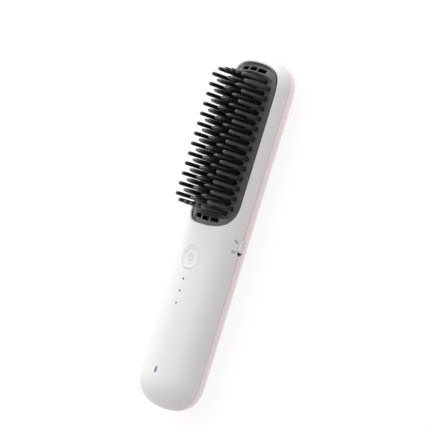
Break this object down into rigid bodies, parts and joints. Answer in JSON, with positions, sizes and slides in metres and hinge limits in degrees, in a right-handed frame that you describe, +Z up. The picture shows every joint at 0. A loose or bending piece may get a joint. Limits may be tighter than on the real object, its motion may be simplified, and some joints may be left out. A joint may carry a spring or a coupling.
{
  "type": "hair_straightening_brush",
  "caption": "Cordless hair straightening brush: white satin handle, round power button, side lock slider, grey oval head tray with black pins and leaf-shaped heated fins",
  "frame": {"origin": "centre of the flat rest strip on the back, halfway along the body", "axes": "+Z up out of the teeth, +Y along the brush toward the head, +X toward the side with the lock slider"},
  "size_m": [0.048, 0.2087, 0.04],
  "materials": {
    "white_shell": "satin white moulded plastic",
    "grey_tray": "fine matt mid-grey moulded plastic",
    "black_pins": "soft black nylon, slightly satin",
    "coated_comb": "die-cast aluminium with a black satin coating",
    "ceramic": "plain sintered ceramic",
    "mica": "pressed mica sheet",
    "steel": "plain bright steel",
    "nickel": "nickel strip",
    "black_moulding": "black moulded plastic",
    "board": "green coated glass-fibre board",
    "chips": "black epoxy",
    "capacitor_can": "bare aluminium can",
    "sensor_glass": "amber glass bead",
    "fuse_case": "pale moulded case",
    "switch_nylon": "natural nylon",
    "lamp": "pale lamp package",
    "clear_window": "smoky translucent plastic",
    "cell_sleeve": "shrunk plastic sleeve",
    "fish_paper": "insulating paper",
    "red_lead": "red silicone insulation",
    "white_lead": "white silicone insulation"
  },
  "bodies": {
    "body": {"battery_cell": "cell_sleeve", "board_screws": "steel", "capacitors": "capacitor_can", "cell_cradle": "black_moulding", "cell_leads": "red_lead", "cell_tabs": "nickel", "charge_lamp": "lamp", "charge_window": "clear_window", "choke_coil": "chips", "comb_fins": "coated_comb", "comb_plate": "coated_comb", "control_chips": "chips", "cover_screws": "steel", "cradle_screws": "steel", "front_cover": "white_shell", "head_tray": "grey_tray", "heater_carrier": "black_moulding", "heater_clamp": "steel", "heater_leads": "red_lead", "heating_element": "ceramic", "indicator_lamps": "lamp", "indicator_windows": "clear_window", "insulating_sheet": "fish_paper", "ion_leads": "white_lead", "ion_module": "black_moulding", "ion_needles": "steel", "main_board": "board", "mica_sheet": "mica", "outer_pins": "black_pins", "power_transistors": "chips", "rear_cover": "white_shell", "screw_plugs": "white_shell", "sensor_leads": "white_lead", "side_board": "board", "slide_switch": "black_moulding", "switch_leads": "white_lead", "tact_switch": "black_moulding", "temperature_sensor": "sensor_glass", "thermal_fuse": "fuse_case", "usb_board": "board", "usb_leads": "white_lead", "usb_screws": "steel", "usb_socket": "steel", "usb_tongue": "black_moulding"},
    "button": {"power_button": "white_shell", "tact_plunger": "switch_nylon"},
    "slider": {"lock_slider": "white_shell", "switch_lever": "switch_nylon"}
  },
  "joints": [
    {"name": "button_press", "type": "slide", "parent": "body", "child": "button", "axis": [0, 0, -1], "range_m": [0, 0.0005], "stiffness_N_per_m": 1500},
    {"name": "lock_slide", "type": "slide", "parent": "body", "child": "slider", "axis": [0, -1, 0], "range_m": [0, 0.0018]}
  ]
}
